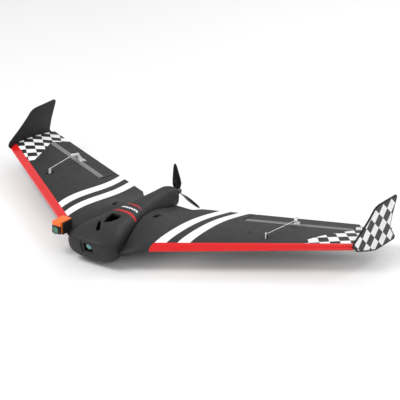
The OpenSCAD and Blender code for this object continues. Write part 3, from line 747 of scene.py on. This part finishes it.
def pod(name, grow=0.0, first=0, steps=110, around=112, reach=0.0):
    rows = smooth_rows(POD_ROWS[first:], steps)
    t = 2 * np.pi * np.arange(around) / around
    c, s = np.cos(t), np.sin(t)
    c, s = np.sign(c) * np.abs(c) ** (2 / POD_POWER), np.sign(s) * np.abs(s) ** (2 / POD_POWER)
    rings = []
    for k, r in enumerate(rows):
        y = r[0] + (reach if k == len(rows) - 1 else 0)
        mid, h = (r[2] + r[3]) / 2, (r[2] - r[3]) / 2
        v = (h + grow) * s
        rings.append(np.stack([(r[1] + grow) * c, y - r[4] * v, mid + v], 1))
    if grow == 0 and first == 0:
        # The front closes in a slightly crowned face
        flat = rings[0]
        middle = flat.mean(0)
        lean = np.array([0, -1.0, -0.35]) / math.hypot(1, 0.35)
        caps = [middle + (flat - middle) * k + lean * CROWN * (1 - k * k)
                for k in (0.02, 0.3, 0.55, 0.75, 0.9, 0.97)]
        rings = caps + rings
    return loft(name, rings)


def above_seam(name, lift=0.0):
    line = [(p[0], p[1] + lift) for p in SEAM]
    return prism(name, line + [(220, 80), (-120, 80)], *WIDE, axis="x")


def round_block(name, w, h, y0, y1, r0, r1=None, grow1=0.0):
    """Block with rounded corners along y, which may widen towards its second end."""
    r1 = r0 if r1 is None else r1
    rings = []
    for y, r, g in ((y0, r0, 0.0), (y1, r1, grow1)):
        u, v = w / 2 + g, h / 2 + g
        out = rounded([(-u, -v), (u, -v), (u, v), (-u, v)], r, 8)
        rings.append(place([(a, y, b) for a, b in out], CAM_PIVOT, 0.0, CAM_LEAN))
    return loft(name, rings)


def centre_section():
    xs = list(np.arange(0, 50.1, 5)) + list(np.arange(52, ROOT_X + 0.1, 2)) + [64, 78, 64.5, 77.5]
    xs = sorted(set(round(float(v), 2) for v in xs if abs(v - ROOT_X) > 0.5)) + [ROOT_X]
    xs = [-v for v in xs[:0:-1]] + xs
    return loft("centre", [section_ring(x, centre(abs(x)), 44) for x in xs])


def bay():
    """The room inside the pod, with the shelf of the speed controller left standing."""
    o = overlap(pod("bay", -WALL, 4, 60, 72), block("b", WIDE, (-100, BAY_REAR), WIDE))
    return cut(o, block("b", (-14, 14), (108, 155), (-80, -24)))


def spar_bore(spar, x0, x1):
    y, z, radius = spar
    return tube("b", (x0, y, z), (x1, y, z), radius)


def magnet_bore(side, low, high):
    x = side * MAGNET_X
    return tube("m", (x, MAGNET_Y, low), (x, MAGNET_Y, high), MAGNET_R)


def side_vent(side):
    rings = []
    for (xa, xb, y, z) in ((47, 57, 67, 17), (51, 60, 84, 20), (53, 62, 94, 25)):
        rings.append([(side * xa, y, z), (side * xb, y, z), (side * xb, y, 45), (side * xa, y, 45)])
    return loft("vent", rings)


def build_centre():
    o = merge(centre_section(), pod("pod"))
    top = overlap(pod("p", GROOVE, 0, 90, 96, 20.0), above_seam("s"))
    o = cut(o, overlap(top, block("b", WIDE, (-200, HATCH_REAR + SEAM_GAP), WIDE)))
    o = cut(o, bay())
    o = cut(o, round_block("r", 30, 28, -50, 4, 3.2))
    o = cut(o, round_block("r", 30, 28, -16.8, -24, 3.2, 5.0, 4.0))
    for s in (-1, 1):
        o = cut(o, side_vent(s))
        o = cut(o, magnet_bore(s, 8.5, 18.5))
    o = cut(o, tube("b", (0, FIREWALL_Y, SHAFT_Z), (0, 230, SHAFT_Z), BELL_R + BELL_ROOM, 64))
    # Room for the motor mount, and the way through to the bay
    o = cut(o, block("b", (-12, 12), (FIREWALL_Y, 187.5), (-5, 30)))
    o = cut(o, block("b", (-8, 8), (170, 184.01), (-8, 30)))
    o = cut(o, spar_bore(MAIN_SPAR, -150, 150))
    o = cut(o, spar_bore(REAR_SPAR, -150, 150))
    # Seat of the side camera, open to the outside and to the front
    o = cut(o, block("b", (-112, -76.8), (-85, -39.8), (-3, 75)))
    return o


TOP_VENT = [[-2, -36], [-9, -12], [-13, 11], [12.5, 10], [14, -8], [9, -24]]
FRONT_VENT = [[-16, -31], [-7, -35], [9, -61], [8, -67], [0, -63], [-12, -39]]


def build_hatch():
    o = overlap(pod("pod"), above_seam("s", SEAM_GAP))
    o = cut(o, pod("in", -WALL, 4, 60, 72, 8.0))
    o = cut(o, tube("c", (-CAM_ROOM_HALF, *CAM_PIVOT[1:]), (CAM_ROOM_HALF, *CAM_PIVOT[1:]),
                    CAM_ROOM, 96))
    o = cut(o, block("b", WIDE, (HATCH_REAR, 230), WIDE))
    o = cut(o, prism("v", rounded(TOP_VENT, 2.5), 10, 70))
    o = cut(o, prism("v", rounded(FRONT_VENT, 1.5), 10, 70))
    for s in (-1, 1):
        o = cut(o, magnet_bore(s, 9.5, 12.9))
    return o


# ---------------------------------------------------------------- wings, elevons, tapes
def wing_panel(name):
    return loft(name, [section_ring(x, panel(x)) for x in np.linspace(ROOT_X, TIP_X, 40)])


def local_block(origin, x, y, z, tilt=0.0):
    """Box in a frame turned with the hinge line and tilted about it."""
    c = place(corners(x, y, z), origin, SWEEP, tilt)
    return tidy_normals(make("b", at(c), BOX_FACES))


HINGE_AT = np.array([LINK_X, hinge_y(LINK_X), HINGE_Z])
SLOPE = -math.radians(2)


def build_wing():
    o = wing_panel("wing")
    a, b = ELEVON_IN - END_GAP, ELEVON_OUT + END_GAP
    o = cut(o, prism("e", [(a, hinge_y(a) - HINGE_GAP), (b, hinge_y(b) - HINGE_GAP), (b, 500),
                           (a, 500)], -40, 40))
    # Pocket of the servo, its lugs and its arm
    o = cut(o, local_block(SERVO_AT, (-26.3, -2.5), (-6.3, 17.3), (-40, 6.3)))
    o = cut(o, local_block(SERVO_AT, (-9.7, -6.8), (-10.8, 21.8), (-40, 6.3)))
    o = cut(o, local_block(SERVO_AT, (-2.6, 4), (-9, 9), (-5, 30)))
    # Short slit for the lead beside the servo
    o = cut(o, local_block(SERVO_AT + np.array([-38.0, -2.0, 0]), (-0.9, 0.9), (-5, 5), (2, 30)))
    o = cut(o, spar_bore(MAIN_SPAR, 90, 251))
    o = cut(o, spar_bore(REAR_SPAR, 90, 161))
    o = cut(o, block("b", (107, 262), (128, 132), (-40, 0.5)))
    return o


def build_elevon():
    o = wing_panel("elevon")
    a, b = ELEVON_IN, ELEVON_OUT
    o = overlap(o, prism("e", [(a, hinge_y(a) - 20), (b, hinge_y(b) - 20), (b, 500), (a, 500)],
                         -40, 40))
    # Front face bevelled below the hinge line, so that it can swing down
    shape = np.array([[0, 0], [0, 30], [90, 30], [90, -40], [40 * math.tan(math.radians(30)), -40]])
    rings = [place([(x, p[0], p[1]) for p in shape], HINGE_AT, SWEEP) for x in (-300, 300)]
    o = overlap(o, loft("r", rings))
    o = cut(o, local_block(HINGE_AT, (-6.2, 6.2), (2.8, 18.7), (-2.2, 20), SLOPE))
    o = cut(o, local_block(HINGE_AT, (-6.2, 6.2), (6.8, 18.7), (-30, -8.4), SLOPE))
    return o


def skin_point(q, u, d):
    """Point a distance d off the skin; u squared is the share of the chord, below it when negative."""
    e = 0.01
    a = np.array(section_point(q, (u - e) ** 2, -1 if u - e < 0 else 1))
    b = np.array(section_point(q, (u + e) ** 2, -1 if u + e < 0 else 1))
    t = (b - a) / np.linalg.norm(b - a)
    p = section_point(q, u * u, -1 if u < 0 else 1)
    return p[0] - t[1] * d, p[1] + t[0] * d


def root_of(x, y):
    q = panel(x)
    return math.sqrt((y - q[0]) / (q[1] - q[0]))


def film(name, x0, x1, low, high, steps, stations, inner=0.3, outer=0.65):
    """Thin film on the wing skin; low and high give its edges at a span x."""
    rings = []
    for x in np.linspace(x0, x1, stations):
        q = panel(x)
        us = [mix(high(x), low(x), i / steps) for i in range(steps + 1)]
        out = [(x, *skin_point(q, u, outer)) for u in us]
        back = [(x, *skin_point(q, u, inner)) for u in us[::-1]]
        rings.append(np.array(out + back))
    return loft(name, rings)


def edge_tape():
    """Film round the leading edge, 13 mm back below it and 18 mm back above it."""
    return film("edge", 111, TIP_X, lambda x: -root_of(x, panel(x)[0] + 13),
                lambda x: root_of(x, panel(x)[0] + 18), 44, 60)


def hinge_strip(a, b):
    return film("hinge", ELEVON_IN + 5, ELEVON_OUT - 6, lambda x: root_of(x, hinge_y(x) + a),
                lambda x: root_of(x, hinge_y(x) + b), 6, 60, 0.12, 0.4)


WINGLET = [[209, 12], [213.5, 21], [252, 43.5], [276, 60], [288, 70], [297, 74], [308, 75.8],
           [375, 75.8], [378.5, 70], [363, 34], [356, 9], [378.5, -20], [375, -25.3],
           [300, -25.4], [260, -14], [227, -3]]


def winglet():
    o = prism("winglet", rounded(WINGLET, 5, 6), TIP_X, SPAN / 2, axis="x")
    return shade(bevel(o, 1.0, 4, 40), 32)


def winglet_film():
    line = rounded(inset(rounded(WINGLET, 5, 2), 3.4), 2, 3)
    return shade(prism("film", line, SPAN / 2 - 0.1, SPAN / 2 + 0.15, axis="x"), 30)


M_WING = {1: wing_paint("foam_wing_left", 1), -1: wing_paint("foam_wing_right", -1)}
M_FOAM, M_HATCH, M_WINGLET, M_DECAL = foam_paint(), hatch_paint(), winglet_paint(), decal_paint()
M_TAPE, M_CLEAR = tape_paint(), clear_paint()
M_BLACK = plastic("black_plastic", PLASTIC, 0.42)
M_GLOSS = plastic("black_gloss", (0.010, 0.010, 0.011), 0.22, 0.02, coat=0.3)
M_SERVO = plastic("servo_plastic", (0.018, 0.019, 0.03), 0.38)
M_NYLON = plastic("white_nylon", (0.78, 0.78, 0.77), 0.34, 0.02)
M_ORANGE = plastic("orange_plastic", ORANGE, 0.34, 0.03)
M_STEEL = metal("steel", (0.60, 0.60, 0.61), 0.26)
M_BELL = metal("anodised_bell", (0.035, 0.035, 0.038), 0.32, (1, 0.05, 1))
M_COPPER = metal("winding", (0.62, 0.24, 0.08), 0.30, (0.1, 1, 0.1), 0.1)
M_MAGNET = metal("magnet", (0.66, 0.66, 0.68), 0.16)
M_CARBON, M_STRAP, M_BOARD = carbon_paint(), strap_paint(), board_paint()
M_WRAP = plastic("battery_wrap", (0.030, 0.055, 0.22), 0.26, 0.05, coat=0.2)
M_SHRINK = plastic("shrink_sleeve", BLACK, 0.34, 0.06)
M_SLEEVE = plastic("lead_sleeve", (0.012, 0.012, 0.012), 0.5, 0.02)
M_CAN = metal("pressed_can", (0.42, 0.42, 0.44), 0.34)
M_LENS = plastic("teal_lens", (0.05, 0.27, 0.26), 0.07, 0.0, coat=1.0)
M_TWO_TONE = two_tone_paint()
M_GREEN = plastic("green_lens", (0.012, 0.14, 0.075), 0.07, 0.0, coat=1.0)

AIR = "airframe"
centre_piece = shade(build_centre(), 32)
centre_piece.name = "centre_foam"
finish_piece(centre_piece, M_FOAM, AIR, "dark_foam", "centre_body")
hatch_piece = shade(build_hatch(), 32)
hatch_piece.name = "hatch_foam"
finish_piece(hatch_piece, M_HATCH, "hatch", "dark_foam", "hatch")

wing = shade(build_wing(), 32)
elevon = shade(build_elevon(), 28)
tape = shade(edge_tape(), 40)
front_strip = shade(hinge_strip(-7.6, -HINGE_GAP), 40)
rear_strip = hinge_strip(0.1, 7.6)
horn_room = local_block(HINGE_AT, (-7, 7), (2.5, 30), (-10, 20), SLOPE)
rear_strip = shade(cut(rear_strip, horn_room), 40)
plate = winglet()
decal = winglet_film()
fronts = []
for side, word in ((1, "left"), (-1, "right")):
    foam_skin, flap = M_WING[side], "elevon_" + word
    finish_piece(take(wing, "wing_foam_" + word, side), foam_skin, AIR, "dark_foam", "wing_" + word)
    finish_piece(take(elevon, "elevon_foam_" + word, side), foam_skin, flap, "dark_foam", flap)
    finish_piece(take(tape, "edge_film_" + word, side), M_TAPE, AIR, "red_tape", "edge_tape_" + word)
    finish_piece(take(rear_strip, "hinge_film_" + word, side), M_CLEAR, flap, "clear_tape",
                 "hinge_tape_" + word)
    finish_piece(take(plate, "winglet_foam_" + word, side), M_WINGLET, AIR, "winglet_foam",
                 "winglet_" + word)
    finish_piece(take(decal, "winglet_film_" + word, side), M_DECAL, AIR, "winglet_foam")
    fronts.append(take(front_strip, "f", side))
finish_piece(join("hinge_film_front", fronts), M_CLEAR, AIR, "clear_tape", "hinge_tape_front")
for o in (wing, elevon, tape, front_strip, rear_strip, plate, decal):
    drop(o)


# ---------------------------------------------------------------- moulded pieces with rounded edges
def softened(node, width):
    """The node's own shape with its sharp edges rounded off."""
    b = bmesh.new()
    b.from_mesh(NODES[node].data)
    bmesh.ops.remove_doubles(b, verts=b.verts[:], dist=1e-6)
    bmesh.ops.dissolve_limit(b, angle_limit=math.radians(0.6), verts=b.verts[:], edges=b.edges[:])
    m = bpy.data.meshes.new(node + "_round")
    b.to_mesh(m)
    b.free()
    return shade(bevel(new_object(node + "_round", m), width, 3, 50), 32)


# Node, radius of its edges, material, body and slot
SOFT = [("camera_bracket", 0.5, M_BLACK, AIR, "black_plastic"),
        ("camera_body", 0.5, M_BLACK, "nose_camera", "black_plastic"),
        ("action_mount", 0.6, M_BLACK, AIR, "black_plastic"),
        ("action_body", 1.6, M_ORANGE, AIR, "orange_plastic"),
        ("action_front", 0.7, M_TWO_TONE, AIR, "black_plastic"),
        ("battery", 1.5, M_WRAP, AIR, "battery_wrap"),
        ("battery_strap", 0.3, M_STRAP, AIR, "red_strap"),
        ("speed_controller", 0.4, M_SHRINK, AIR, "heat_shrink")]
for side in ("left", "right"):
    SOFT += [("servo_" + side, 0.5, M_SERVO, AIR, "servo_case"),
             ("servo_arm_" + side, 0.25, M_NYLON, "servo_arm_" + side, "white_nylon"),
             ("control_horn_" + side, 0.25, M_NYLON, "elevon_" + side, "white_nylon")]
for name, width, material, body, slot in SOFT:
    finish_piece(softened(name, width), material, body, slot, name)

# ---------------------------------------------------------------- plain nodes that keep their CAD shape
KEEP = {
    "main_spar": M_CARBON, "rear_spar": M_CARBON, "winglet_pins": M_CARBON,
    "skid_rails": M_BLACK, "hatch_magnets": M_MAGNET, "body_magnets": M_MAGNET,
    "motor_mount": M_BLACK, "motor_mount_screws": M_STEEL, "motor_stator": M_COPPER,
    "motor_bell": M_BELL, "motor_shaft": M_STEEL, "propeller": M_GLOSS,
    "propeller_nut": M_STEEL, "motor_leads": M_SLEEVE,
    "servo_screw_left": M_STEEL, "servo_screw_right": M_STEEL,
    "pushrod_left": M_STEEL, "pushrod_right": M_STEEL,
    "clevis_left": M_NYLON, "clevis_right": M_NYLON,
    "horn_plate_left": M_NYLON, "horn_plate_right": M_NYLON,
    "horn_screws_left": M_STEEL, "horn_screws_right": M_STEEL,
    "servo_leads": M_SLEEVE, "flight_controller": M_BOARD, "receiver": M_SHRINK,
    "video_transmitter": M_CAN, "camera_screws": M_STEEL, "camera_lens": M_LENS,
    "action_lens": M_GREEN, "record_button": M_BLACK, "power_button": M_BLACK}
for name, material in KEEP.items():
    o = NODES[name]
    o.data.materials.clear()
    o.data.materials.append(material)

# ---------------------------------------------------------------- stage, light and camera
GROUND, AMBIENT = 6, 0.62
ground = make("ground", [(-GROUND, -GROUND, 0), (GROUND, -GROUND, 0), (GROUND, GROUND, 0),
                         (-GROUND, GROUND, 0)], [(0, 1, 2, 3)])
floor = Paint("floor", (0.88, 0.88, 0.88), 0.6)
floor.vary(floor.noise(2.0), 0.99, 1.01)
ground.data.materials.append(floor.done())

world = bpy.data.worlds.new("studio")
bpy.context.scene.world = world
world.use_nodes = True
world.node_tree.nodes["Background"].inputs[0].default_value = (1, 1, 1, 1)
world.node_tree.nodes["Background"].inputs[1].default_value = AMBIENT


def light(name, place_at, target, size, watts):
    d = bpy.data.lights.new(name, "AREA")
    d.shape = "RECTANGLE"
    d.size, d.size_y = size
    d.energy = watts
    o = new_object(name, d)
    o.location = place_at
    o.rotation_euler = (Vector(target) - Vector(place_at)).to_track_quat("-Z", "Y").to_euler()


light("key", (-0.9, -1.3, 1.9), (0, 0, 0), (1.2, 1.2), 34)
light("fill", (1.9, -0.9, 1.1), (0, 0, 0), (1.4, 1.0), 12)
light("back", (0.2, 1.9, 1.5), (0, 0, 0), (1.8, 0.8), 16)

# The photograph's view, solved from its matching points on the two wings and winglets
LENS, EYE_AT, EYE_ANGLES = 229.2255, (2.86676, -4.009024, 2.16332), (34.4507, 22.9834, 1.3592)
camera = bpy.data.cameras.new("camera")
camera.lens, camera.sensor_width = LENS, 36.0
camera.clip_start, camera.clip_end = 0.1, 50
eye = new_object("camera", camera)
az, el, roll = map(math.radians, EYE_ANGLES)
back = Vector((math.sin(az) * math.cos(el), -math.cos(az) * math.cos(el), math.sin(el)))
right = Vector((math.cos(az), math.sin(az), 0))
up = back.cross(right)
cx = right * math.cos(roll) + up * math.sin(roll)
cy = up * math.cos(roll) - right * math.sin(roll)
eye.matrix_world = Matrix([(cx[k], cy[k], back[k], EYE_AT[k]) for k in range(3)] + [(0, 0, 0, 1)])
bpy.context.scene.camera = eye
bpy.context.scene.view_settings.view_transform = "Standard"
bpy.context.view_layer.update()
